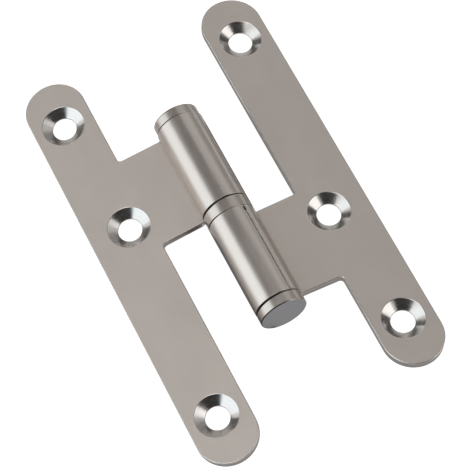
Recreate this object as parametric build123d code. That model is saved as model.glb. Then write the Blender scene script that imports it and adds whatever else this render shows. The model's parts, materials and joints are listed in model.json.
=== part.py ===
from build123d import *
from math import asin, atan2, cos, degrees, hypot, radians, sin
import os

# Lift-off paumelle hinge: two flat leaves, each a long strip with a short tab whose edge is closed
# round the pin as an eye. The hinge lies on its back, as it does on a bench. The pin runs along Y,
# the screw faces look up along Z, and the frame leaf reaches out to +X. The origin is on the bench,
# under the pin, halfway up the bearing ring. Both leaves droop until their outer edges meet the
# bench, beside the eyes that carry them.

# The sheet and the eye that is closed round the pin
sheet = 1.9
eye_radius = 5.4
eye_length = 22.7
leaf_level = 0.8  # the screw face lies this far behind the pin's axis
seam_angle = 62.0  # from the leaf round to the seam where the eye's lip ends
seam_gap = 0.3
seam_lip_round = 0.25
lip_nick_width = 0.7  # the nick that the lip's rounded corner leaves in the seam beside the ring
lip_nick_length = 0.8
neck_round = 0.5  # hollow corner between the screw face and the eye
neck_back_round = 1.2  # hollow corner between the back and the eye
eye_end_chamfer = 0.15

# The tab, and the strip with its full-round ends
tab_set_in = 0.4  # the eye stands this far past the tab's outer edge
strip_offset = 22.5  # from the pin's axis to the strip's centre line
strip_width = 13.6
strip_near_tip = 49.2  # from the ring's middle to the tip beside the leaf's own eye
strip_far_tip = 50.8  # and to the other tip
inner_corner_round = 0.8
edge_round = 0.25  # the edge that the stamping die rolls over, on the screw face

# Countersunk screw holes
screw_hole_radius = 2.65
countersink_radius = 4.8
countersink_depth = 1.55
end_hole_inset = 11.1  # from a tip of the strip to the end hole
middle_hole_offset = 20.2  # from the pin's axis to the middle hole
middle_hole_height = 8.4  # from the ring's middle to the middle hole

# The pin, the bearing ring and the two caps
running_clearance = 0.05
ring_height = 2.8
ring_chamfer = 0.12
axial_play = 0.25
pin_head_room = 2.95  # from the pin's nose to the top cap's spigot
pin_nose = 1.0
spigot_length = 3.0
spigot_chamfer = 0.3
pin_end_gap = 0.2
top_cap_height = 2.2
top_cap_inset = 0.2
bottom_cap_height = 2.4
bottom_cap_inset = 0.05
bottom_cap_groove = 0.3
groove_depth = 0.7
cap_rim_chamfer = 0.25

# What follows from the sizes above
ring_half = ring_height / 2
bore_radius = eye_radius - sheet
pin_radius = bore_radius - running_clearance
back_level = leaf_level + sheet
tab_length = eye_length - tab_set_in
inner_edge = strip_offset - strip_width / 2
outer_edge = strip_offset + strip_width / 2
droop = degrees(asin(eye_radius / hypot(outer_edge, back_level)) - atan2(back_level, outer_edge))
frame_eye_end = ring_half + eye_length
door_eye_start = ring_half + axial_play
door_eye_end = door_eye_start + eye_length


def on_rim(vertex):
    """Whether a point of the eye's section lies on its outer circle."""
    return abs(hypot(vertex.X, vertex.Y) - eye_radius) < 0.001


def neck_face():
    """The eye's disc grown together with the leaf's inner edge, with a hollow corner each side."""
    neck_length = eye_radius + 2 * max(neck_round, neck_back_round)
    face = Circle(eye_radius) + Pos(neck_length / 2, -leaf_level - sheet / 2) * Rectangle(neck_length, sheet)
    upper = face.vertices().filter_by(on_rim).filter_by(lambda v: v.X > 0).sort_by(Axis.Y)[-1]
    face = fillet(upper, neck_round)
    lower = face.vertices().filter_by(on_rim).filter_by(lambda v: v.X > 0).sort_by(Axis.Y)[0]
    return fillet(lower, neck_back_round)


def opened(face, bore, seam_side):
    """Cut the bore and the seam out of the eye's section, and round the seam's two lips."""
    turn = seam_side * seam_angle
    wall = eye_radius - bore
    seam = Rot(0, 0, turn) * Pos(bore + wall / 2, 0) * Rectangle(2 * wall, seam_gap)
    face = face - Circle(bore) - seam
    mouth_x = eye_radius * cos(radians(turn))
    mouth_y = eye_radius * sin(radians(turn))
    lips = face.vertices().filter_by(on_rim)
    lips = lips.filter_by(lambda v: hypot(v.X - mouth_x, v.Y - mouth_y) < seam_gap)
    return fillet(lips, seam_lip_round)


def lip_nick(start, bore, seam_side):
    """The small nick at the seam's end beside the ring, cut through the wall from the outside."""
    wall = eye_radius - bore
    outline = SlotOverall(2 * lip_nick_length, lip_nick_width)
    tool = extrude(Plane.YZ.offset(bore - wall / 2) * outline, 2 * wall)
    return Rot(0, -seam_side * seam_angle, 0) * Pos(0, -start, 0) * tool


def end_break(height, side, chamfer):
    """The ring-shaped wedge that breaks the eye's outer edge at one of its ends."""
    profile = Polyline(
        (eye_radius - 2 * chamfer, height + side * chamfer),
        (eye_radius + chamfer, height - 2 * side * chamfer),
        (eye_radius + chamfer, height + side * chamfer),
        close=True,
    )
    return Rot(90, 0, 0) * revolve(Plane.XZ * make_face(profile), Axis.Z)


def eye(start, bore, seam_side):
    """The closed eye on the -Y side of the ring, from the distance start on, with its neck."""
    across = Plane.XZ.offset(start)
    whole = extrude(across * opened(Circle(eye_radius), bore, seam_side), eye_length)
    whole += extrude(across * opened(neck_face(), bore, seam_side), tab_length)
    whole -= lip_nick(start, bore, seam_side)
    whole -= end_break(start, -1, eye_end_chamfer)
    whole -= end_break(start + eye_length, 1, eye_end_chamfer)
    return whole


def plate(start, bore):
    """The leaf's flat sheet: the strip, and the tab that carries the eye."""
    strip_length = strip_near_tip + strip_far_tip
    strip_middle = (strip_far_tip - strip_near_tip) / 2
    tab_inner = (eye_radius + bore) / 2
    tab_reach = strip_offset - tab_inner
    outline = Pos(strip_offset, strip_middle) * SlotOverall(strip_length, strip_width, 90)
    outline += Pos(tab_inner + tab_reach / 2, -start - tab_length / 2) * Rectangle(tab_reach, tab_length)
    corners = outline.vertices().filter_by(lambda v: abs(v.X - inner_edge) < 0.001)
    corners = corners.filter_by(lambda v: -start - tab_length - 0.001 < v.Y < -start + 0.001)
    outline = fillet(corners, inner_corner_round)
    flat = Pos(0, 0, -back_level) * extrude(outline, sheet)
    rim = flat.faces().sort_by(Axis.Z)[-1].outer_wire().edges()
    return fillet(rim.filter_by(lambda e: e.center().X > eye_radius), edge_round)


def screw_hole(x, y):
    """A countersunk hole: a cone from the screw face down, and a short straight land below it."""
    above = 1.0
    slope = (countersink_radius - screw_hole_radius) / countersink_depth
    cone = Cone(screw_hole_radius, countersink_radius + slope * above, countersink_depth + above)
    shank = Cylinder(screw_hole_radius, sheet + 2 * above)
    hole = Pos(0, 0, (above - countersink_depth) / 2) * cone + Pos(0, 0, -sheet / 2) * shank
    return Pos(x, y, -leaf_level) * hole


def leaf(start, bore, seam_side):
    """One leaf, reaching out to +X with its eye on the -Y side, drooped onto the bench.

    The seam lies on the screw side for a seam_side of 1, and on the back for -1.
    """
    whole = plate(start, bore) + eye(start, bore, seam_side)
    whole -= screw_hole(strip_offset, end_hole_inset - strip_near_tip)
    whole -= screw_hole(strip_offset, strip_far_tip - end_hole_inset)
    whole -= screw_hole(middle_hole_offset, -middle_hole_height)
    return Pos(0, 0, eye_radius) * Rot(0, droop, 0) * whole


def on_pin_axis(turned):
    """Lay a piece turned about Z onto the pin's axis, with its +Z end towards +Y."""
    return Pos(0, 0, eye_radius) * Rot(-90, 0, 0) * turned


def spigot(radius):
    """The plain end of a cap that is pressed into an eye, from z = 0 down."""
    rod = Pos(0, 0, -spigot_length / 2) * Cylinder(radius, spigot_length)
    return chamfer(rod.edges().sort_by(Axis.Z)[0], spigot_chamfer)


def frame_leaf():
    """The leaf that is screwed to the frame, with the pin fixed in its eye."""
    return leaf(ring_half, pin_radius, 1)


def door_leaf():
    """The leaf that is screwed to the door and lifts off the pin."""
    return Rot(0, 0, 180) * leaf(door_eye_start, bore_radius, -1)


def hinge_pin():
    """The plain pin, pressed into the frame leaf's eye, with a tapered nose."""
    foot = -frame_eye_end + spigot_length + pin_end_gap
    head = door_eye_end - spigot_length - pin_head_room
    rod = Pos(0, 0, (foot + head) / 2) * Cylinder(pin_radius, head - foot)
    rod = chamfer(rod.edges().sort_by(Axis.Z)[-1], pin_nose)
    rod = chamfer(rod.edges().sort_by(Axis.Z)[0], spigot_chamfer)
    return on_pin_axis(rod)


def bearing_ring():
    """The loose ring that the door leaf's eye turns on."""
    ring = Cylinder(eye_radius, ring_height)
    ring = chamfer(ring.edges().filter_by(GeomType.CIRCLE), ring_chamfer)
    return on_pin_axis(ring - Cylinder(bore_radius, 2 * ring_height))


def top_cap():
    """The cap that closes the door leaf's eye."""
    head = Pos(0, 0, top_cap_height / 2) * Cylinder(eye_radius - top_cap_inset, top_cap_height)
    head = chamfer(head.edges().sort_by(Axis.Z)[-1], cap_rim_chamfer)
    return on_pin_axis(Pos(0, 0, door_eye_end) * (head + spigot(bore_radius)))


def bottom_cap():
    """The cap under the frame leaf's eye, with a groove that leaves a dark line below the eye."""
    radius = eye_radius - bottom_cap_inset
    head_middle = bottom_cap_groove + bottom_cap_height / 2
    head = Pos(0, 0, head_middle) * Cylinder(radius, bottom_cap_height)
    head = chamfer(head.edges().sort_by(Axis.Z)[-1], cap_rim_chamfer)
    waist = Pos(0, 0, bottom_cap_groove) * Cylinder(radius - groove_depth, 2 * bottom_cap_groove)
    cap = head + waist + spigot(pin_radius)
    return on_pin_axis(Rot(180, 0, 0) * Pos(0, 0, frame_eye_end) * cap)


os.makedirs("parts", exist_ok=True)
for node in (frame_leaf, door_leaf, hinge_pin, bearing_ring, top_cap, bottom_cap):
    export_step(node(), f"parts/{node.__name__}.step")
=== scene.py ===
"""Looks of a lift-off paumelle hinge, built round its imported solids."""

import json
import logging
import math
from collections.abc import Callable
from dataclasses import dataclass, field
from enum import Enum
from functools import reduce

import bmesh
import bpy
from mathutils import Euler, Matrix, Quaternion, Vector

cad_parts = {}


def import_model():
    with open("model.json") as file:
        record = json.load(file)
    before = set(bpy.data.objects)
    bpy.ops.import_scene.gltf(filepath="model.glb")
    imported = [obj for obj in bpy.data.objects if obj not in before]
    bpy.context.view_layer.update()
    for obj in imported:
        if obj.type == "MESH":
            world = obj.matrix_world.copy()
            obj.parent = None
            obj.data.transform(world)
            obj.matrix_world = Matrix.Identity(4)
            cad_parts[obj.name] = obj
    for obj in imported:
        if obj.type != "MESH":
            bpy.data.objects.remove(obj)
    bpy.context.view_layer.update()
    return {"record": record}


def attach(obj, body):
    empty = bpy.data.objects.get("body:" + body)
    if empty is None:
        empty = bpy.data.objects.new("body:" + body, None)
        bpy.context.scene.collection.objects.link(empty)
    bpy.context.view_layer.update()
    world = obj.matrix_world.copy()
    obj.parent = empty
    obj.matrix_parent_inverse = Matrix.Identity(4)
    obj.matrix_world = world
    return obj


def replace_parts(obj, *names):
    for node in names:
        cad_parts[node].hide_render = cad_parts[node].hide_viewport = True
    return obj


MM = 0.001
EYE_RADIUS = 5.4
PIN_HEIGHT = EYE_RADIUS
TURNED_STEPS = 112
GROUND_STEPS = 96
SMOOTH_BELOW_DEG = 35
FLAT_WITHIN_DEG = 0.1
NEAR = 0.0001  # millimetres within which two places are one
ON_SURFACE = 0.02  # how far a flat facet's middle may lie off its round surface
RIM_DEPTH = 0.12  # how far a turned end's rounded rim reaches along the axis
UPRIGHT = 0.1  # a wall's normal has at most this part along Z
LEVEL = 0.9999  # a skin's normal has at least this part along Z
FACING = 0.99  # a wall square to the pin has at least this part along Y
MIDDLE = 0.5  # the mean of a noise, which changes nothing
log = logging.getLogger("hinge")

Vert = bmesh.types.BMVert
Edge = bmesh.types.BMEdge
Face = bmesh.types.BMFace
Element = Vert | Edge | Face
Object = bpy.types.Object
Socket = bpy.types.NodeSocket
Key = int | str
Colour = tuple[float, float, float]
Point = tuple[float, float, float]
Swing = tuple[Socket, float]
Rims = tuple[tuple[float, float], ...]


def direction(azimuth_deg: float, elevation_deg: float) -> Vector:
    """Return the unit vector at an azimuth, counted from +Y toward +X, and an elevation."""
    azimuth = math.radians(azimuth_deg)
    elevation = math.radians(elevation_deg)
    level = math.cos(elevation)
    return Vector((math.sin(azimuth) * level, math.cos(azimuth) * level, math.sin(elevation)))


class Graph:
    """The node tree of a material or a world, drawn one node at a time."""

    def __init__(self, owner: bpy.types.Material | bpy.types.World) -> None:
        """Turn on the owner's nodes and take its tree, emptied."""
        owner.use_nodes = True
        self.tree = owner.node_tree
        self.tree.nodes.clear()

    def feed(self, socket: Socket, value: object) -> None:
        """Link a socket to another node's output, or set it to a plain value."""
        if isinstance(value, Socket):
            self.tree.links.new(value, socket)
        else:
            socket.default_value = value

    def add(self, kind: str, inputs: dict[Key, object], output: Key = 0, **options: str) -> Socket:
        """Add a shader node.

        Args:
            kind: Its type's name after the word ShaderNode.
            inputs: What each input is linked or set to.
            output: The output that is wanted.
            options: The node's own settings.

        Returns:
            That output.
        """
        node = self.tree.nodes.new(f"ShaderNode{kind}")
        for name, option in options.items():
            setattr(node, name, option)
        for key, value in inputs.items():
            self.feed(node.inputs[key], value)
        return node.outputs[output]

    def show(self, surface: Socket, kind: str = "Material") -> None:
        """Add the tree's output node and link what it shows."""
        self.tree.links.new(surface, self.tree.nodes.new(f"ShaderNodeOutput{kind}").inputs["Surface"])

    def number(self, operation: str, first: object, second: object) -> Socket:
        """Return the number that an operation makes of two numbers."""
        return self.add("Math", {0: first, 1: second}, operation=operation)

    def seen_directly(self) -> Socket:
        """Return a socket that is 1 for what the camera, a reflection or glass sees, else 0."""
        total = self.add("LightPath", {}, "Is Camera Ray")
        for ray in ("Is Glossy Ray", "Is Transmission Ray"):
            total = self.number("MAXIMUM", total, self.add("LightPath", {}, ray))
        return total


@dataclass(frozen=True)
class PhotoCamera:
    """The camera that took the photograph, solved from the hinge's own sizes.

    It looks down at the aim point, from the given range, turned round its own line of sight by roll.
    """

    aim: Point = (-0.985 * MM, -5.324 * MM, 5.4 * MM)
    range_m: float = 485.95 * MM
    azimuth_deg: float = 19.468
    elevation_deg: float = 63.255
    roll_deg: float = 7.5
    lens_mm: float = 174.04
    sensor_mm: float = 36.0
    nearest_m: float = 0.01

    def build(self) -> None:
        """Add the camera and make it the scene's own."""
        sight = direction(self.azimuth_deg, -self.elevation_deg)
        turn = sight.to_track_quat("-Z", "Y") @ Quaternion((0, 0, 1), -math.radians(self.roll_deg))
        stand = Vector(self.aim) - sight * self.range_m
        bpy.ops.object.camera_add(location=stand, rotation=turn.to_euler())
        camera = bpy.context.object
        camera.name = "photo_camera"
        camera.data.lens = self.lens_mm
        camera.data.sensor_width = self.sensor_mm
        camera.data.clip_start = self.nearest_m
        bpy.context.scene.camera = camera


@dataclass(frozen=True)
class Panel:
    """A flat lamp or grey card of the studio, placed and sized by angles seen from the hinge."""

    name: str
    azimuth_deg: float
    elevation_deg: float
    width_deg: float
    height_deg: float
    radiance: float
    distance_m: float = 1.2
    tint: Colour = (1.0, 1.0, 1.0)

    def place(self) -> dict[str, Vector | Euler]:
        """Return where the panel's middle lies and how it is turned to face the hinge."""
        away = direction(self.azimuth_deg, self.elevation_deg)
        return {"location": away * self.distance_m, "rotation": away.to_track_quat("Z", "Y").to_euler()}

    def extent(self, angle_deg: float) -> float:
        """Return the length in metres that an angle spans at the panel's distance."""
        return 2 * self.distance_m * math.tan(math.radians(angle_deg) / 2)

    def build_lamp(self) -> None:
        """Add the panel as an area lamp of its radiance."""
        bpy.ops.object.light_add(type="AREA", **self.place())
        lamp = bpy.context.object
        lamp.name = self.name
        lamp.data.shape = "RECTANGLE"
        lamp.data.color = self.tint
        width, height = self.extent(self.width_deg), self.extent(self.height_deg)
        lamp.data.size, lamp.data.size_y = width, height
        lamp.data.energy = self.radiance * math.pi * width * height

    def build_card(self) -> None:
        """Add the panel as a card that only reflections see."""
        bpy.ops.mesh.primitive_plane_add(size=1, **self.place())
        card = bpy.context.object
        card.scale = (self.extent(self.width_deg), self.extent(self.height_deg), 1)
        show_in_reflections(card, self.name, self.radiance)


def show_in_reflections(card: Object, name: str, radiance: float) -> None:
    """Name a card, give it an even grey glow and hide it from all but reflections.

    Args:
        card: The card's mesh object.
        name: Its name and its material's.
        radiance: How bright it looks in a mirror, where 1 is white.
    """
    card.name = name
    material = bpy.data.materials.new(name)
    graph = Graph(material)
    graph.show(graph.add("Emission", {"Color": (radiance, radiance, radiance, 1)}))
    card.data.materials.append(material)
    card.visible_camera = False
    card.visible_diffuse = False
    card.visible_shadow = False


LAMPS = (
    Panel("left_softbox", -91, 25, 77, 49, 0.58, tint=(0.78, 1.0, 1.13)),
    Panel("right_softbox", 129, 27, 52, 25, 0.70),
)
CARDS = (
    Panel("camera_side_card", 190, 36, 78, 56, 0.045),
    Panel("overhead_card", -20, 61, 49, 28, 0.06),
    Panel("left_high_card", -84, 76, 46, 18, 2.5, 1.3),
    Panel("right_grey_card", 62, 13, 60, 30, 0.32, 1.4),
    Panel("right_mid_card", 52, 41, 90, 27, 0.68, 1.45),
    Panel("right_high_card", 103, 65, 56, 30, 0.06, 1.4),
    Panel("right_low_card", 90, 9, 26, 24, 0.08),
    Panel("back_card", 15, 5, 50, 20, 0.58, 1.4),
    Panel("back_left_card", -27, 12, 28, 30, 0.11),
)


@dataclass(frozen=True)
class FloorShadeCard:
    """A grey sheet under the hinge or beside it that only reflections see: painted shade standing in for
    the floor's shadow round the hinge, which the metal's lower walls reflect.
    """

    name: str
    x: float
    y: float
    width: float
    length: float
    lift: float
    radiance: float

    def build_card(self) -> None:
        """Lay the sheet on the floor. Its sizes are in millimetres."""
        bpy.ops.mesh.primitive_plane_add(size=1, location=(self.x * MM, self.y * MM, self.lift * MM))
        card = bpy.context.object
        card.scale = (self.width * MM, self.length * MM, 1)
        show_in_reflections(card, self.name, self.radiance)


# Painted shade: darker sheets under and beside the hinge stand in for the floor's shadow in the metal's
# reflections.
FLOOR_CARDS = (
    FloorShadeCard("under_shade_card", 0, 0, 130, 130, 0.2, 0.62),
    FloorShadeCard("left_shade", -7.5, -13.95, 11, 27.1, 0.4, 0.14),
    FloorShadeCard("notch_shade", -7.6, 0.3, 3.2, 1.6, 0.3, 0.2),
    FloorShadeCard("near_right_shade", 8, 14, 10, 24, 0.4, 0.08),
    FloorShadeCard("far_right_shade", 48, 8, 34, 90, 0.4, 0.18),
)


@dataclass(frozen=True)
class Studio:
    """The pale floor, the even surroundings, the lamps and the cards."""

    floor_size_m: float = 12.0
    floor_grey: float = 0.8
    floor_glow: float = 0.82
    ambient: float = 0.45

    def build(self) -> None:
        """Add the floor, the world and every panel."""
        self.build_world()
        self.build_floor()
        for panel in LAMPS:
            panel.build_lamp()
        for card in CARDS + FLOOR_CARDS:
            card.build_card()

    def build_world(self) -> None:
        """Make the world white where it is seen and plain ambient light elsewhere."""
        world = bpy.data.worlds.new("surroundings")
        graph = Graph(world)
        levels = {"Value": graph.seen_directly(), "To Min": self.ambient, "To Max": 1.0}
        strength = graph.add("MapRange", levels, "Result")
        graph.show(graph.add("Background", {"Color": (1, 1, 1, 1), "Strength": strength}), "World")
        bpy.context.scene.world = world

    def build_floor(self) -> None:
        """Lay the floor: pale and plain, glowing white where it is seen, and keeping shadows."""
        bpy.ops.mesh.primitive_circle_add(vertices=96, radius=self.floor_size_m / 2, fill_type="NGON")
        floor = bpy.context.object
        floor.name = "floor"
        material = bpy.data.materials.new("pale_floor")
        graph = Graph(material)
        body = graph.add("BsdfDiffuse", {"Color": (self.floor_grey, self.floor_grey, self.floor_grey, 1)})
        strength = graph.number("MULTIPLY", graph.seen_directly(), self.floor_glow)
        graph.show(graph.add("AddShader", {0: body, 1: graph.add("Emission", {"Strength": strength})}))
        floor.data.materials.append(material)


class Sketch(Graph):
    """A metal's node tree: its shader, the piece's coordinates in millimetres, and what feeds it."""

    def __init__(self, name: str) -> None:
        """Start a named material from its plain shader."""
        self.material = bpy.data.materials.new(name)
        self.material.use_nodes = True
        self.tree = self.material.node_tree
        self.shader = self.tree.nodes["Principled BSDF"]
        self.place = self.vector("MULTIPLY", self.add("TexCoord", {}, "Object"), (1 / MM, 1 / MM, 1 / MM))

    def vector(self, operation: str, first: object, second: object, output: str = "Vector") -> Socket:
        """Return what an operation makes of two vectors."""
        return self.add("VectorMath", {0: first, 1: second}, output, operation=operation)

    def along(self, axis: str) -> Socket:
        """Return how far a point lies along an axis."""
        return self.add("SeparateXYZ", {0: self.place}, axis)

    def off_pin(self) -> Socket:
        """Return how far a point lies from the pin's axis."""
        across = self.vector("MULTIPLY", self.place, (1, 0, 1))
        return self.vector("DISTANCE", across, (0, 0, PIN_HEIGHT), "Value")

    def between(
        self, value: object, low: float, high: float, at_low: object = 0.0, at_high: object = 1.0
    ) -> Socket:
        """Return a smooth step from one value to another.

        Args:
            value: What is measured.
            low: Where the step starts.
            high: Where it ends.
            at_low: The result up to the start.
            at_high: The result past the end.

        Returns:
            The stepped value.
        """
        inputs = {"Value": value, "From Min": low, "From Max": high, "To Min": at_low, "To Max": at_high}
        return self.add("MapRange", inputs, "Result", interpolation_type="SMOOTHSTEP")

    def grains(self, stretch: Point, detail: float) -> Socket:
        """Return even noise, from 0 to 1, whose grains are finer where the stretch is larger."""
        stretched = self.vector("MULTIPLY", self.place, stretch)
        return self.add("TexNoise", {"Scale": 1.0, "Detail": detail, "Vector": stretched}, "Fac")

    def lines(self, distance: object, per_mm: float, detail: float) -> Socket:
        """Return noise along one measured distance: the lines that a cutting tool leaves."""
        inputs = {"Scale": per_mm, "Detail": detail, "W": distance}
        return self.add("TexNoise", inputs, "Fac", noise_dimensions="1D")

    def swing(self, total: object, swings: list[Swing], middle: float = MIDDLE) -> object:
        """Return a value plus each noise's difference from its middle, times that noise's share."""
        for noise, share in swings:
            change = self.number("SUBTRACT", noise, middle) if middle else noise
            total = self.number("ADD", total, self.number("MULTIPLY", change, share))
        return total


@dataclass(frozen=True)
class Layer:
    """A layer of noise on a metal, and how far it swings the colour, the roughness and the height.

    Its grains are finer where the stretch is larger. With lines per millimetre it is drawn as a
    cutting tool's marks instead, along the distance that its finish measures.
    """

    stretch: Point = (1.0, 1.0, 1.0)
    detail: float = 3.0
    lines_per_mm: float = 0.0
    tone: float = 0.0
    gloss: float = 0.0
    relief: float = 0.0


@dataclass(frozen=True)
class Finish:
    """A metal's finish: a colour and a roughness under layers of noise. Each kind is a subclass."""

    name: str
    colour: Colour = (0.5, 0.5, 0.5)
    roughness: float = 0.3
    layers: tuple[Layer, ...] = ()

    def measure(self, sketch: Sketch) -> Socket:
        """Return the distance along which tool marks lie: here, along the pin's axis."""
        return sketch.along("Y")

    def base_roughness(self, sketch: Sketch) -> object:
        """Return the roughness that the layers swing."""
        return self.roughness

    def patches(self, sketch: Sketch) -> list[Swing]:
        """Return what else swings the colour, with its share."""
        return []

    def material(self) -> bpy.types.Material:
        """Draw the finish and return its material."""
        sketch = Sketch(self.name)
        tones, glosses, reliefs = [], [], []
        for layer in self.layers:
            if layer.lines_per_mm:
                noise = sketch.lines(self.measure(sketch), layer.lines_per_mm, layer.detail)
            else:
                noise = sketch.grains(layer.stretch, layer.detail)
            for swings, share in ((tones, layer.tone), (glosses, layer.gloss), (reliefs, layer.relief)):
                if share:
                    swings.append((noise, share))
        tint = {0: self.colour, "Scale": sketch.swing(1.0, tones + self.patches(sketch))}
        relief = {"Distance": MM, "Height": sketch.swing(0.0, reliefs, 0.0)}
        looks = {
            "Metallic": 1.0,
            "Base Color": sketch.add("VectorMath", tint, operation="SCALE"),
            "Roughness": sketch.swing(self.base_roughness(sketch), glosses),
            "Normal": sketch.add("Bump", relief),
        }
        for name, look in looks.items():
            sketch.feed(sketch.shader.inputs[name], look)
        return sketch.material


@dataclass(frozen=True)
class SatinNickel(Finish):
    """The leaf's plated face: an even satin, drawn fine along the strip and smoother on the closed eye."""

    colour: Colour = (0.60, 0.541, 0.496)
    roughness: float = 0.54
    layers: tuple[Layer, ...] = (
        Layer((0.16, 0.11, 0.16), tone=0.12, gloss=0.06),
        Layer((9.0, 0.55, 9.0), tone=0.07, gloss=0.10, relief=0.0012),
        Layer((5.0, 5.0, 5.0), 4.0, tone=0.06, relief=0.0010),
    )
    eye_roughness: float = 0.30
    fade: float = 0.06
    recess_width: float = 0.7
    # painted shade: how much darker the hollow beside the eye is painted
    recess_painted_shade: float = 0.40
    eye_loss: float = 0.03

    def base_roughness(self, sketch: Sketch) -> object:
        """Return the plate's roughness, and the smoother eye's within its radius."""
        edge = EYE_RADIUS + self.fade
        return sketch.between(sketch.off_pin(), EYE_RADIUS, edge, self.eye_roughness, self.roughness)

    def patches(self, sketch: Sketch) -> list[Swing]:
        """Return the painted shade in the hollow beside the eye and the slight loss on the rolled eye."""
        radius = sketch.off_pin()
        edge = EYE_RADIUS + self.fade
        hollow_shade = sketch.number(
            "MULTIPLY", sketch.between(radius, EYE_RADIUS, edge),
            sketch.between(radius, edge, edge + self.recess_width, -self.recess_painted_shade, 0.0),
        )
        rolled = sketch.between(radius, EYE_RADIUS, edge, MIDDLE - self.eye_loss, MIDDLE)
        return [(sketch.number("ADD", hollow_shade, rolled), 1.0)]


@dataclass(frozen=True)
class ShearedEdge(Finish):
    """The sheet's cut wall: drawn by the die across its thickness, then dulled by the plating."""

    colour: Colour = (0.34, 0.314, 0.30)
    roughness: float = 0.42
    layers: tuple[Layer, ...] = (
        Layer((6.0, 6.0, 0.5), tone=0.25, gloss=0.25, relief=0.006),
        Layer((0.3, 0.3, 0.3), 2.0, tone=0.10),
    )


@dataclass(frozen=True)
class WornEdge(Finish):
    """The rolled-over edges, which tumbling and handling have rubbed brighter than the faces."""

    colour: Colour = (0.62, 0.57, 0.53)
    roughness: float = 0.24
    layers: tuple[Layer, ...] = (
        Layer((0.9, 0.9, 0.9), 4.0, tone=0.22, gloss=0.18),
        Layer((4.0, 4.0, 4.0), tone=0.12, relief=0.004),
    )


@dataclass(frozen=True)
class ShadedSeamWall(Finish):
    """The walls inside the eye's seam, too narrow for the plating to reach: bare steel, painted near-black
    as the shade inside the narrow gap.
    """

    colour: Colour = (0.09, 0.08, 0.075)
    roughness: float = 0.5
    layers: tuple[Layer, ...] = (Layer((1.5, 0.6, 1.5), tone=0.5, gloss=0.2, relief=0.01),)


@dataclass(frozen=True)
class TurnedSink(Finish):
    """A countersink's bright cone, with the fine rings that the cutter leaves round its hole."""

    colour: Colour = (0.60, 0.572, 0.545)
    roughness: float = 0.18
    layers: tuple[Layer, ...] = (
        Layer(lines_per_mm=5.0, tone=0.24, gloss=0.14, relief=0.006),
        Layer((0.8, 0.8, 0.8), tone=0.08, gloss=0.08),
    )
    middles: tuple[Point, ...] = ()

    def measure(self, sketch: Sketch) -> Socket:
        """Return the distance from the nearest hole's middle."""
        distances = [sketch.vector("DISTANCE", sketch.place, middle, "Value") for middle in self.middles]
        return reduce(lambda nearest, distance: sketch.number("MINIMUM", nearest, distance), distances)


@dataclass(frozen=True)
class TurnedNickel(Finish):
    """A turned and plated piece: fine lines round the pin's axis over a soft sheen."""

    colour: Colour = (0.535, 0.48, 0.437)
    roughness: float = 0.30
    layers: tuple[Layer, ...] = (
        Layer(lines_per_mm=7.0, tone=0.08, gloss=0.08, relief=0.0015),
        Layer((0.5, 0.5, 0.5), tone=0.10, gloss=0.08),
    )


@dataclass(frozen=True)
class GroundSteel(Finish):
    """The pin's bare ground steel: cooler and brighter than the plating, with finer lines."""

    colour: Colour = (0.47, 0.456, 0.443)
    roughness: float = 0.22
    layers: tuple[Layer, ...] = (
        Layer(lines_per_mm=12.0, tone=0.08, gloss=0.08, relief=0.0015),
        Layer((0.5, 0.5, 0.5), tone=0.10, gloss=0.08),
    )


@dataclass(frozen=True)
class ShadedGroove(Finish):
    """The fine grooves and rims beside the caps and the ring, painted darker than the turned nickel as the
    shade in them, and darkest on their -X side.
    """

    colour: Colour = (0.38, 0.345, 0.32)
    roughness: float = 0.22
    layers: tuple[Layer, ...] = (
        Layer(lines_per_mm=7.0, tone=0.06, relief=0.0015),
        Layer((0.8, 2.0, 0.8), tone=0.10, gloss=0.10),
    )
    # painted shade: how much darker the -X side is painted
    side_shade: float = 0.86
    shaded_until: float = -1.2
    unshaded_from: float = 2.5

    def patches(self, sketch: Sketch) -> list[Swing]:
        """Return the painted shade, which fades from one side of the pin to the other."""
        fade = (self.shaded_until, self.unshaded_from, MIDDLE - self.side_shade, MIDDLE)
        return [(sketch.between(sketch.along("X"), *fade), 1.0)]


@dataclass(frozen=True)
class FacedEnd(Finish):
    """A cap's faced-off end: matt, with faint rings round its middle, its colour darkened to a neutral grey
    as a painted reflection of the shaded floor in front of it.
    """

    # painted reflection: darker, neutral grey in place of the shaded floor that the end reflects
    colour: Colour = (0.33, 0.325, 0.335)
    roughness: float = 0.45
    layers: tuple[Layer, ...] = (
        Layer(lines_per_mm=4.0, tone=0.14, gloss=0.10, relief=0.003),
        Layer((2.5, 2.5, 2.5), 4.0, tone=0.20, gloss=0.10, relief=0.003),
    )

    def measure(self, sketch: Sketch) -> Socket:
        """Return the distance from the pin's axis."""
        return sketch.off_pin()


class Pick(Enum):
    """The kind of mesh element that a selection is made of."""

    VERTS = "VERT"
    EDGES = "EDGE"
    FACES = "FACE"


def middle_of(part: Element) -> Vector:
    """Return the middle of a face or an edge, or a vertex's own place."""
    if isinstance(part, Face):
        return part.calc_center_median()
    if isinstance(part, Edge):
        return (part.verts[0].co + part.verts[1].co) / 2
    return part.co


def across(part: Element) -> Vector:
    """Return the middle of an element without its part along Y: in a leaf, its place off the pin's axis."""
    middle = middle_of(part)
    return Vector((middle.x, 0, middle.z))


def near(first: float, second: float) -> bool:
    """Whether two lengths are the same."""
    return abs(first - second) < NEAR


def leave_edit_mode() -> None:
    """Go back to object mode if a piece is open for editing."""
    if bpy.context.object and bpy.context.object.mode != "OBJECT":
        bpy.ops.object.mode_set(mode="OBJECT")


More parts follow.
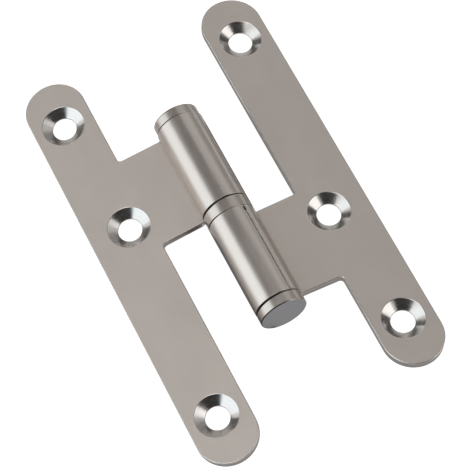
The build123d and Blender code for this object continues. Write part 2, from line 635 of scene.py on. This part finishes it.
class Workpiece:
    """A mesh on the bench, in millimetres, shaped by edit-mode operators on what is selected."""

    def __init__(self, name: str) -> None:
        """Take the primitive that was just added as the start of the named piece."""
        self.obj = bpy.context.object
        self.obj.name = name
        self.obj.data.name = name
        bpy.ops.object.transform_apply()

    def hold(self) -> None:
        """Leave edit mode and make this piece the one that is selected."""
        leave_edit_mode()
        bpy.ops.object.select_all(action="DESELECT")
        self.obj.select_set(True)
        bpy.context.view_layer.objects.active = self.obj
        bpy.context.view_layer.update()

    def edit(self) -> None:
        """Open this piece alone for editing."""
        self.hold()
        bpy.ops.object.mode_set(mode="EDIT")

    def take_in(self, other: "Workpiece") -> None:
        """Join another piece's mesh into this one."""
        self.hold()
        other.obj.select_set(True)
        bpy.ops.object.join()

    def dress(self, *finishes: Finish) -> None:
        """Give the piece a material slot for each finish."""
        for finish in finishes:
            self.obj.data.materials.append(finish.material())

    def pick_all(self) -> None:
        """Select the whole piece."""
        bpy.ops.mesh.select_all(action="SELECT")

    def pick(self, kind: Pick, test: Callable[[Element], bool]) -> None:
        """Select the elements that pass a test.

        Args:
            kind: Whether vertices, edges or faces are tested.
            test: Whether an element is wanted.
        """
        bpy.ops.mesh.select_mode(type=kind.value)
        bpy.ops.mesh.select_all(action="DESELECT")
        mesh = bmesh.from_edit_mesh(self.obj.data)
        elements = {Pick.VERTS: mesh.verts, Pick.EDGES: mesh.edges, Pick.FACES: mesh.faces}[kind]
        for element in [element for element in elements if test(element)]:
            element.select_set(True)
        mesh.select_flush_mode()
        bmesh.update_edit_mesh(self.obj.data)

    def selected_middle(self) -> Vector:
        """Return the middle of the selected vertices."""
        chosen = [vert.co for vert in bmesh.from_edit_mesh(self.obj.data).verts if vert.select]
        return sum(chosen, Vector()) / len(chosen)

    def extrude(self, x: float = 0.0, y: float = 0.0) -> None:
        """Extrude what is selected by a step."""
        bpy.ops.mesh.extrude_region_move(TRANSFORM_OT_translate={"value": (x, y, 0)})

    def bevel(self, test: Callable[[Edge], bool], width: float, segments: int, slot: int = -1) -> None:
        """Round the edges that pass a test, and give the new faces a material slot if one is named."""
        self.pick(Pick.EDGES, test)
        bpy.ops.mesh.bevel(
            offset=width, segments=segments, affect="EDGES", profile=0.5, material=slot, loop_slide=False
        )

    def tidy(self, distance: float = 0.003) -> None:
        """Merge doubled vertices and point every face outwards."""
        self.pick_all()
        bpy.ops.mesh.remove_doubles(threshold=distance)
        self.pick_all()
        bpy.ops.mesh.normals_make_consistent(inside=False)

    def paint(self, slot: int, test: Callable[[Face], bool]) -> None:
        """Give the faces that pass a test the material of a slot."""
        self.pick(Pick.FACES, test)
        self.obj.active_material_index = slot
        bpy.ops.object.material_slot_assign()

    def cut(self, tool: "Workpiece") -> None:
        """Cut another piece's shape out of this one and clear the tool away."""
        self.hold()
        difference = self.obj.modifiers.new("cut", "BOOLEAN")
        difference.operation = "DIFFERENCE"
        difference.solver = "EXACT"
        difference.object = tool.obj
        bpy.ops.object.modifier_apply(modifier=difference.name)
        bpy.data.objects.remove(tool.obj)

    def lathe(self, rims: Rims, bored: bool) -> None:
        """Build up a turned body from the circle at its first rim, as turn_body describes it."""
        self.edit()
        self.pick_all()
        for (radius, height), (next_radius, next_height) in zip(rims, rims[1:]):
            bpy.ops.mesh.extrude_edges_move(TRANSFORM_OT_translate={"value": (0, 0, next_height - height)})
            share = next_radius / radius
            bpy.ops.transform.resize(value=(share, share, 1), center_override=(0, 0, next_height))
        if bored:
            self.pick(Pick.EDGES, lambda edge: len(edge.link_faces) == 1)
            bpy.ops.mesh.bridge_edge_loops()
        else:
            for _, height in (rims[0], rims[-1]):
                self.pick(
                    Pick.EDGES, lambda edge: len(edge.link_faces) == 1 and near(middle_of(edge).z, height)
                )
                bpy.ops.mesh.edge_face_add()
        self.tidy(NEAR)

    def round_rim(
        self, radius: float, height: float, width: float, segments: int = 3, slot: int = -1
    ) -> None:
        """Round a turned body's rim.

        Args:
            radius: The rim's radius.
            height: Where it lies along the axis.
            width: How far the round reaches from it.
            segments: How many facets the round has.
            slot: The material slot of its new faces, if they get one of their own.
        """
        def on_rim(edge: Edge) -> bool:
            level = all(near(vert.co.z, height) for vert in edge.verts)
            return level and all(abs(vert.co.xy.length - radius) < ON_SURFACE for vert in edge.verts)

        self.bevel(on_rim, width, segments, slot)

    def lean_rim(self, height: float, angle: float, up_to: float = math.inf) -> None:
        """Lean the end of a turned body, as wear or a crooked press does, where x is below a limit.

        Args:
            height: Where the end lies along the axis.
            angle: How far it leans, in radians; the -X side goes down for a positive angle.
            up_to: The x below which it leans.
        """
        self.pick(
            Pick.VERTS, lambda vert: abs(vert.co.z - height) < RIM_DEPTH and vert.co.x < up_to - NEAR
        )
        bpy.ops.transform.rotate(value=angle, orient_axis="Y", center_override=(0, 0, height))

    def place(self, at: Point, turn: Point) -> Object:
        """Smooth the piece and bring it from the bench to its place on the hinge.

        Args:
            at: Where its own origin goes, in metres.
            turn: How it is turned there, in radians about X, Y and Z.

        Returns:
            The finished object, at the origin with its place in its mesh.
        """
        self.edit()
        self.tidy(NEAR)
        self.hold()
        bpy.ops.object.shade_smooth_by_angle(angle=math.radians(SMOOTH_BELOW_DEG))
        weighted = self.obj.modifiers.new("even_shading", "WEIGHTED_NORMAL")
        weighted.keep_sharp = True
        bpy.ops.object.modifier_apply(modifier=weighted.name)
        self.obj.location = at
        self.obj.rotation_euler = turn
        self.obj.scale = (MM, MM, MM)
        bpy.ops.object.transform_apply()
        return self.obj


def add_circle(name: str, radius: float, vertices: int, at: Point, turn: Point = (0, 0, 0)) -> Workpiece:
    """Add an open circle as the start of a piece.

    Args:
        name: The piece's name.
        radius: The circle's radius in millimetres.
        vertices: How many points it has.
        at: Its middle.
        turn: How it is turned, in radians.

    Returns:
        The new workpiece.
    """
    leave_edit_mode()
    bpy.ops.mesh.primitive_circle_add(vertices=vertices, radius=radius, location=at, rotation=turn)
    return Workpiece(name)


def turn_body(
    name: str, rims: Rims, *finishes: Finish, bored: bool = False, steps: int = TURNED_STEPS
) -> Workpiece:
    """Turn a body on the bench, with its axis along Z.

    Args:
        name: The piece's name.
        rims: Each rim's radius and height, in order along the profile.
        finishes: Its finishes, a material slot for each.
        bored: Whether the last rim is joined back to the first, which leaves a bore.
        steps: How many facets go round it.

    Returns:
        The body, open for editing.
    """
    radius, height = rims[0]
    body = add_circle(name, radius, steps, (0, 0, height))
    body.dress(*finishes)
    body.lathe(rims, bored)
    return body


@dataclass(frozen=True)
class ScrewHole:
    """A countersunk hole: a bright cone, a short land below it, and its rims broken."""

    x: float
    y: float
    radius: float = 2.65
    sink_radius: float = 4.8
    sink_depth: float = 1.55
    rim_break: float = 0.05
    rim_slope: float = 2.5
    land_break: float = 0.07
    back_break: float = 0.08
    above: float = 0.5

    def cutter(self, screw_face: float, back: float) -> Workpiece:
        """Return the hole's shape as a tool that stands through the sheet.

        Args:
            screw_face: The height of the face that the cone opens from.
            back: The height of the sheet's back.

        Returns:
            The cutter.
        """
        slope = (self.sink_radius - self.radius) / self.sink_depth
        rim = self.sink_radius - slope * self.rim_break
        rims = (
            (rim + self.rim_slope * (self.above + self.rim_break), screw_face + self.above),
            (rim, screw_face - self.rim_break),
            (self.radius + slope * self.land_break, screw_face - self.sink_depth + self.land_break),
            (self.radius, screw_face - self.sink_depth - self.land_break),
            (self.radius, back + self.back_break),
            (self.radius + self.above + self.back_break, back - self.above),
        )
        tool = turn_body("hole_cutter", rims, steps=GROUND_STEPS)
        tool.hold()
        tool.obj.location = (self.x, self.y, 0)
        bpy.ops.object.transform_apply()
        return tool


class TurnedSlot(Enum):
    """The material slots of a turned piece. A ring has no faced end."""

    NICKEL = 0
    GROOVE = 1
    END = 2


class LeafSlot(Enum):
    """The material slots of a leaf."""

    SATIN = 0
    SHEARED = 1
    WORN = 2
    SINK = 3
    GAP = 4


@dataclass
class Leaf:
    """One leaf: a strip with full-round ends, and a tab whose edge is closed round the pin as an eye.

    It is modelled level, reaching out to +X with the pin's axis along Y through the origin and its
    eye on the -Y side, then drooped until its outer edge rests beside the eye. Sizes are millimetres.
    """

    name: str
    node: str
    body: str
    start: float
    eye_length: float
    bore: float
    seam_side: int
    half_turn: bool
    screws: tuple[Point, ...]
    sheet: float = 1.9
    eye_radius: float = EYE_RADIUS
    tab_set_in: float = 0.4
    leaf_level: float = 0.8
    seam_angle: float = 62.0
    seam_gap: float = 0.3
    seam_closing: tuple[float, float] = (0.18, 0.16)
    lip_drop: float = 0.12
    lip_depth: float = 0.08
    lip_nick_width: float = 0.56
    lip_nick_length: float = 1.15
    lip_nick_inset: float = 0.3
    nick_steps: int = 24
    plated_in: float = 0.2
    gap_reach: float = 0.1
    # painted shade in the hollow beside the eye
    neck_painted_shade: float = 0.40
    neck_round: float = 0.12
    neck_back_round: float = 1.2
    neck_steps: int = 8
    touch_reach: float = 0.2
    strip_offset: float = 22.42
    strip_width: float = 13.76
    near_tip: float = 49.2
    far_tip: float = 50.8
    tip_steps: int = 28
    inner_corner_round: float = 0.8
    corner_steps: int = 8
    corner_reach: float = 1.0
    edge_round: float = 0.2
    eye_end_round: float = 0.07
    free_lip_round: float = 0.12
    fixed_lip_round: float = 0.45
    lip_flat: float = 0.9
    lip_turn: float = 1.0
    tab_lead: float = 0.4
    neck_lead: float = 0.08
    lead_from: float = 0.05
    end_hole_inset: float = 11.1
    end_hole_offset: float = 22.5
    middle_hole_offset: float = 20.2
    middle_hole_height: float = 8.4
    piece: Workpiece = field(init=False)

    def __post_init__(self) -> None:
        """Work out the levels, the edges and the seam's directions from the sizes."""
        self.screw_face = -self.leaf_level
        self.back = -self.leaf_level - self.sheet
        self.inner_edge = self.strip_offset - self.strip_width / 2
        self.outer_edge = self.strip_offset + self.strip_width / 2
        self.tab_start = self.tab_lead - self.start
        self.tab_end = -self.start - self.eye_length + self.tab_set_in
        self.seam_turn = math.radians(self.seam_side * self.seam_angle)
        self.mouth = Vector((math.cos(self.seam_turn), 0, math.sin(self.seam_turn)))
        self.tangent = Vector((-self.mouth.z, 0, self.mouth.x)) * -self.seam_side
        self.neck_end = self.eye_radius + self.neck_back_round
        self.round_stop = self.eye_radius + 2 * self.edge_round
        reach = math.hypot(self.outer_edge, -self.back)
        self.droop = math.asin(self.eye_radius / reach) - math.atan2(-self.back, self.outer_edge)

    def build(self) -> Object:
        """Model the leaf, finish it and bring it to its place.

        Returns:
            The leaf's object.
        """
        self.close_eye()
        self.grow_neck()
        self.draw_eye_out()
        self.spread_plate()
        self.round_corners()
        self.dress()
        self.round_outline()
        self.sink_holes()
        self.nick_lip()
        turn = (0, self.droop, math.pi if self.half_turn else 0)
        obj = self.piece.place((0, 0, self.eye_radius * MM), turn)
        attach(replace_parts(obj, self.node), self.body)
        return obj

    def close_eye(self) -> None:
        """Bridge two circles into the eye's section and open it by one segment at the seam."""
        steps = round(math.pi / math.asin(self.seam_gap / 2 / self.eye_radius))
        half_segment = math.pi / steps
        turn = (math.pi / 2, half_segment - self.seam_turn, 0)
        at = (0, -self.start, 0)
        self.piece = add_circle(self.name, self.eye_radius, steps, at, turn)
        self.piece.take_in(add_circle("bore", self.bore, steps, at, turn))
        self.piece.edit()
        self.piece.pick_all()
        bpy.ops.mesh.bridge_edge_loops()
        self.piece.pick(
            Pick.FACES, lambda face: across(face).normalized().dot(self.mouth) > math.cos(half_segment)
        )
        bpy.ops.mesh.delete(type="FACE")

        def beside_fixed_lip(vert: Vert) -> bool:
            place = across(vert)
            gap = (place - self.mouth * self.eye_radius).length
            return self.lip_flat > gap > self.seam_gap and self.seam_side * place.cross(self.mouth).y < 0

        self.piece.pick(Pick.VERTS, beside_fixed_lip)
        bpy.ops.mesh.dissolve_verts()

    def grow_neck(self) -> None:
        """Draw the two hollow corners from the eye to the sheet and fill the neck between them."""
        corners = ((self.neck_round, self.screw_face, 1), (self.neck_back_round, self.back, -1))
        touches = []
        for radius, level, side in corners:
            middle = Vector((0, 0, level + side * radius))
            middle.x = math.sqrt((self.eye_radius + radius) ** 2 - middle.z**2)
            touch = middle * (self.eye_radius / (self.eye_radius + radius))
            touches.append(touch)
            self.piece.pick(Pick.FACES, lambda face: across(face).angle(touch) < self.touch_reach)
            bpy.ops.mesh.bisect(plane_co=(0, 0, 0), plane_no=Vector((-touch.z, 0, touch.x)).normalized())
            self.piece.pick(Pick.VERTS, lambda vert: (across(vert) - touch).length < ON_SURFACE)
            step = touch - self.piece.selected_middle()
            bpy.ops.transform.translate(value=(step.x, 0, step.z))
            sweep = Vector((0, 0, -side)).angle(touch - middle)
            centre = middle + Vector((0, -self.start, 0))
            bpy.ops.mesh.spin(steps=self.neck_steps, angle=side * sweep, center=centre, axis=(0, 1, 0))
            self.piece.extrude(x=self.neck_end - middle.x)
        self.piece.pick(Pick.VERTS, lambda vert: abs(vert.co.x - self.neck_end) < ON_SURFACE)
        bpy.ops.mesh.edge_face_add()
        upper, lower = touches

        def round_neck(edge: Edge) -> bool:
            place = across(edge)
            on_eye = len(edge.link_faces) == 1 and place.x > 0 and lower.z < place.z < upper.z
            least = self.eye_radius - ON_SURFACE if on_eye else self.eye_radius + NEAR
            return place.length > least

        self.piece.pick(Pick.EDGES, round_neck)
        bpy.ops.mesh.edge_face_add()

    def draw_eye_out(self) -> None:
        """Extrude the section to the tab's length and the eye a little further, and close the seam up."""
        self.piece.pick(Pick.FACES, lambda face: True)
        self.piece.extrude(y=self.tab_end + self.start)
        self.piece.pick(
            Pick.FACES,
            lambda face: near(middle_of(face).y, self.tab_end)
            and abs(face.normal.y) > FACING
            and across(face).length < self.eye_radius,
        )
        self.piece.extrude(y=-self.tab_set_in)

        def on_free_lip(vert: Vert) -> bool:
            place = across(vert)
            beside = abs(place.dot(self.tangent) + self.seam_gap / 2) < self.lip_depth
            return beside and place.dot(self.mouth) > 0

        middle = -self.start - self.eye_length / 2
        for end, closing in zip((1, -1), self.seam_closing):
            self.piece.pick(Pick.VERTS, lambda vert: on_free_lip(vert) and end * (vert.co.y - middle) > 0)
            bpy.ops.transform.translate(value=self.tangent * closing)

        def on_outer_lip(vert: Vert) -> bool:
            place = across(vert)
            past_free_lip = place.dot(self.tangent) + self.seam_gap / 2
            outer = place.dot(self.mouth) > self.eye_radius - self.sheet / 2
            return outer and -ON_SURFACE < past_free_lip < self.seam_gap - self.lip_depth

        self.piece.pick(Pick.VERTS, on_outer_lip)
        bpy.ops.transform.translate(value=self.mouth * -self.lip_drop)

    def spread_plate(self) -> None:
        """Extrude the tab and the strip, and round the strip's two ends."""
        piece = self.piece
        piece.pick_all()
        bpy.ops.mesh.bisect(plane_co=(self.round_stop, 0, 0), plane_no=(1, 0, 0))
        piece.pick(Pick.FACES, lambda face: near(middle_of(face).x, self.neck_end))
        piece.extrude(x=self.inner_edge - self.neck_end)
        piece.extrude(x=self.strip_width)
        leads = (
            (-self.start, self.eye_radius + self.lead_from, self.neck_lead),
            (self.neck_lead - self.start, self.neck_end + NEAR, self.tab_lead - self.neck_lead),
        )
        for edge_at, least_x, lead in leads:
            piece.pick(Pick.VERTS, lambda vert: near(vert.co.y, edge_at) and vert.co.x > least_x)
            bpy.ops.transform.translate(value=(0, lead, 0))
        half = self.strip_width / 2
        for side, tip in ((self.tab_start, self.far_tip), (self.tab_end, -self.near_tip)):
            outward = math.copysign(1, tip)
            piece.pick(
                Pick.FACES,
                lambda face: near(middle_of(face).y, side) and middle_of(face).x > self.inner_edge,
            )
            piece.extrude(y=tip - side - outward * half)
            piece.extrude(y=outward * half)
            piece.bevel(
                lambda edge: self.is_upright(edge) and near(middle_of(edge).y, tip),
                half - NEAR,
                self.tip_steps,
            )
        piece.tidy()

    def is_upright(self, edge: Edge) -> bool:
        """Whether an edge runs through the sheet's thickness."""
        first, second = (vert.co for vert in edge.verts)
        return near(first.x, second.x) and near(first.y, second.y)

    def round_corners(self) -> None:
        """Round the two inner corners between the tab and the strip."""
        def at_corner(edge: Edge) -> bool:
            place = middle_of(edge)
            on_tab = near(place.y, self.tab_start) or near(place.y, self.tab_end)
            return self.is_upright(edge) and near(place.x, self.inner_edge) and on_tab

        self.piece.bevel(at_corner, self.inner_corner_round, self.corner_steps)
        self.piece.pick(
            Pick.FACES, lambda face: abs(face.normal.z) > LEVEL and middle_of(face).x > self.neck_end
        )
        bpy.ops.mesh.dissolve_limited(angle_limit=math.radians(FLAT_WITHIN_DEG))

    def is_wall(self, face: Face) -> bool:
        """Whether a face is part of the sheet's cut outline, and not of its two skins."""
        if abs(face.normal.z) > UPRIGHT:
            return False
        return abs(face.normal.y) > FACING or middle_of(face).x > self.inner_edge - self.corner_reach

    def dress(self) -> None:
        """Give the leaf its finishes and the cut walls theirs."""
        finishes = {
            LeafSlot.SATIN: SatinNickel(f"{self.name}_satin", recess_painted_shade=self.neck_painted_shade),
            LeafSlot.SHEARED: ShearedEdge(f"{self.name}_sheared"),
            LeafSlot.WORN: WornEdge(f"{self.name}_worn"),
            LeafSlot.SINK: TurnedSink(f"{self.name}_sink", middles=self.screws),
            LeafSlot.GAP: ShadedSeamWall(f"{self.name}_gap"),
        }
        self.piece.dress(*(finishes[slot] for slot in LeafSlot))
        self.piece.paint(LeafSlot.SHEARED.value, self.is_wall)

    def round_outline(self) -> None:
        """Round the seam's two lips, the eye's ends and then the whole cut outline."""

        def on_outline(edge: Edge) -> bool:
            if len(edge.link_faces) != 2 or not edge.is_convex:
                return False
            place = across(edge)
            on_neck = place.length > self.eye_radius + ON_SURFACE and place.x < self.round_stop
            if on_neck or place.length < self.eye_radius - ON_SURFACE:
                return False
            return sum(self.is_wall(face) for face in edge.link_faces) == 1

        def on_lip(edge: Edge) -> bool:
            place = across(edge)
            if place.length < self.eye_radius - ON_SURFACE or place.normalized().dot(self.mouth) < FACING:
                return False
            on_wall = any(self.is_wall(face) for face in edge.link_faces)
            return not on_wall and edge.calc_face_angle() > self.lip_turn

        def on_free_side(edge: Edge) -> bool:
            return self.seam_side * across(edge).cross(self.mouth).y > 0

        def on_eye_end(edge: Edge) -> bool:
            return on_outline(edge) and across(edge).length < self.eye_radius + ON_SURFACE

        rounds = (
            (lambda edge: on_lip(edge) and on_free_side(edge), self.free_lip_round, 3),
            (lambda edge: on_lip(edge) and not on_free_side(edge), self.fixed_lip_round, 6),
            (on_eye_end, self.eye_end_round, 3),
            (on_outline, self.edge_round, 4),
        )
        for wanted, width, steps in rounds:
            self.piece.bevel(wanted, width, steps, LeafSlot.WORN.value)

    def sink_holes(self) -> None:
        """Cut the three countersunk holes and finish their cones."""
        holes = (
            ScrewHole(self.end_hole_offset, self.end_hole_inset - self.near_tip),
            ScrewHole(self.end_hole_offset, self.far_tip - self.end_hole_inset),
            ScrewHole(self.middle_hole_offset, -self.middle_hole_height),
        )
        for hole in holes:
            self.piece.cut(hole.cutter(self.screw_face, self.back))

        def in_a_hole(face: Face) -> bool:
            place = middle_of(face)
            inside = any(math.dist(place.xy, (hole.x, hole.y)) < hole.sink_radius for hole in holes)
            return inside and self.back + ON_SURFACE < place.z < self.screw_face - ON_SURFACE

        self.piece.edit()
        self.piece.paint(LeafSlot.SINK.value, in_a_hole)

    def nick_lip(self) -> None:
        """Cut the nick that the lip's rounded corner leaves in the seam, beside the ring."""
        half = self.lip_nick_width / 2
        wall = self.eye_radius - self.bore
        at = (self.eye_radius - wall / 2, 0, 0)
        tool = add_circle("nick_cutter", half, self.nick_steps, at, (0, math.pi / 2, 0))
        tool.edit()
        tool.pick_all()
        bpy.ops.mesh.edge_face_add()
        tool.extrude(x=wall)
        tool.pick(Pick.VERTS, lambda vert: vert.co.y > NEAR)
        bpy.ops.transform.translate(value=(0, self.lip_nick_length - 2 * half, 0))
        tool.tidy(NEAR)
        tool.hold()
        tool.obj.location = (0, half - self.start - self.lip_nick_inset - self.lip_nick_length, 0)
        tool.obj.rotation_euler = (0, -self.seam_turn, 0)
        bpy.ops.object.transform_apply()
        self.piece.cut(tool)

        def in_seam(face: Face) -> bool:
            place = across(face)
            inside = self.bore + self.plated_in < place.length < self.eye_radius - self.plated_in
            beside = place.cross(self.mouth).length < self.gap_reach * place.length
            return inside and beside and place.dot(self.mouth) > 0 and abs(face.normal.y) < FACING

        # Painted shade: the seam's walls get the near-black gap finish.
        self.piece.edit()
        self.piece.paint(LeafSlot.GAP.value, in_seam)


@dataclass
class BearingRing:
    """The loose ring that the door leaf's eye turns on."""

    radius: float = EYE_RADIUS
    bore: float = 3.5
    foot: float = -1.70
    head: float = 1.1
    foot_round: float = 0.05
    head_round: float = 0.1
    foot_wear: float = 0.05
    head_wear: float = 0.035

    def build(self) -> Object:
        """Turn the ring, break its rims and bring it to its place.

        Returns:
            The ring's object.
        """
        lower = ((self.bore, self.foot), (self.radius, self.foot))
        upper = ((self.radius, self.head), (self.bore, self.head))
        finishes = (TurnedNickel("ring_nickel"), ShadedGroove("ring_groove"))
        ring = turn_body("bearing_ring_turned", lower + upper, *finishes, bored=True)
        ring.paint(TurnedSlot.GROOVE.value, lambda face: middle_of(face).z < self.foot + NEAR)
        ring.round_rim(self.radius, self.foot, self.foot_round, slot=TurnedSlot.GROOVE.value)
        ring.round_rim(self.radius, self.head, self.head_round)
        ring.lean_rim(self.foot, -self.foot_wear, 0.0)
        ring.lean_rim(self.head, self.head_wear)
        obj = ring.place((0, 0, PIN_HEIGHT * MM), (-math.pi / 2, 0, 0))
        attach(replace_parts(obj, "bearing_ring"), "ring")
        return obj


@dataclass
class Cap:
    """A cap that closes an eye: a turned head on a plain spigot, with a fine neck between them."""

    name: str
    node: str
    body: str
    radius: float
    height: float
    neck_radius: float
    neck_height: float
    spigot_radius: float
    eye_end: float
    outward: int
    spigot_length: float = 3.0
    spigot_chamfer: float = 0.3
    rim_round: float = 0.22
    foot_round: float = 0.06
    crooked: float = 0.045

    def build(self) -> Object:
        """Turn the cap, round its rims, face its end and bring it to its place.

        Returns:
            The cap's object.
        """
        tip = self.spigot_radius - self.spigot_chamfer
        top = self.neck_height + self.height
        rims = (
            (tip, -self.spigot_length),
            (self.spigot_radius, self.spigot_chamfer - self.spigot_length),
            (self.spigot_radius, 0),
            (self.neck_radius, 0),
            (self.neck_radius, self.neck_height),
            (self.radius, self.neck_height),
            (self.radius, top),
        )
        groove = TurnedSlot.GROOVE.value
        finishes = (
            TurnedNickel(f"{self.name}_nickel"),
            ShadedGroove(f"{self.name}_groove"),
            FacedEnd(f"{self.name}_end"),
        )
        cap = turn_body(self.name, rims, *finishes)
        cap.paint(TurnedSlot.END.value, lambda face: middle_of(face).z > top - NEAR)
        cap.paint(groove, lambda face: middle_of(face).z < self.neck_height - NEAR)
        cap.round_rim(self.radius, self.neck_height, self.foot_round, slot=groove)
        cap.round_rim(self.radius, top, self.rim_round, 4, groove)
        cap.lean_rim(self.neck_height, -self.crooked)
        at = (0, self.outward * self.eye_end * MM, PIN_HEIGHT * MM)
        obj = cap.place(at, (-self.outward * math.pi / 2, 0, 0))
        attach(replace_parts(obj, self.node), self.body)
        return obj


@dataclass
class HingePin:
    """The ground pin with its tapered nose, which shows when the door leaf is lifted."""

    radius: float = 3.45
    foot: float = -20.9
    head: float = 18.4
    nose: float = 1.0
    foot_chamfer: float = 0.3
    shoulder_round: float = 0.4
    nose_round: float = 0.3

    def build(self) -> Object:
        """Turn the pin, soften its nose and bring it to its place.

        Returns:
            The pin's object.
        """
        rims = (
            (self.radius - self.foot_chamfer, self.foot),
            (self.radius, self.foot + self.foot_chamfer),
            (self.radius, self.head - self.nose),
            (self.radius - self.nose, self.head),
        )
        pin = turn_body("hinge_pin_ground", rims, GroundSteel("pin_steel_ground"), steps=GROUND_STEPS)
        pin.round_rim(self.radius, self.head - self.nose, self.shoulder_round, 4)
        pin.round_rim(self.radius - self.nose, self.head, self.nose_round, 4)
        obj = pin.place((0, 0, PIN_HEIGHT * MM), (-math.pi / 2, 0, 0))
        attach(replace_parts(obj, "hinge_pin"), "frame")
        return obj


def screw_places(frame: dict, leaf: str) -> tuple[Point, ...]:
    """Return the middles of a leaf's three screw mounts, in millimetres.

    Args:
        frame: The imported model.
        leaf: Which leaf, frame or door.

    Returns:
        The three places.
    """
    mounts = [mount for mount in frame["record"]["mounts"] if mount["name"].startswith(f"{leaf}_screw")]
    return tuple(tuple(axis / MM for axis in mount["pos_m"]) for mount in mounts)


def hinge_pieces(frame: dict) -> tuple[Leaf | HingePin | Cap | BearingRing, ...]:
    """Return the hinge's pieces in the order in which they are put together."""
    return (
        Leaf(
            "frame_leaf_pressing", "frame_leaf", "frame", start=1.73, eye_length=22.37, bore=3.45,
            seam_side=1, half_turn=False, screws=screw_places(frame, "frame"),
        ),
        HingePin(),
        Cap(
            "bottom_cap_turned", "bottom_cap", "frame", radius=5.35, height=2.34, neck_radius=4.65,
            neck_height=0.36, spigot_radius=3.45, eye_end=24.1, outward=-1,
        ),
        BearingRing(),
        Leaf(
            "door_leaf_pressing", "door_leaf", "door", start=1.47, eye_length=22.63, bore=3.5,
            seam_side=-1, half_turn=True, screws=screw_places(frame, "door"),
            neck_painted_shade=0.12, neck_lead=0.28,
        ),
        Cap(
            "top_cap_turned", "top_cap", "door", radius=5.2, height=2.31, neck_radius=4.7,
            neck_height=0.16, spigot_radius=3.5, eye_end=24.1, outward=1, rim_round=0.3, crooked=0.03,
        ),
    )


def main() -> None:
    """Build the studio and every piece."""
    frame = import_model()
    bpy.ops.object.select_all(action="DESELECT")
    bpy.context.scene.view_settings.view_transform = "Standard"
    PhotoCamera().build()
    Studio().build()
    for piece in hinge_pieces(frame):
        obj = piece.build()
        log.info("%s: %d faces", obj.name, len(obj.data.polygons))


if __name__ == "__main__":
    logging.basicConfig(level=logging.INFO, format="%(message)s")
    main()
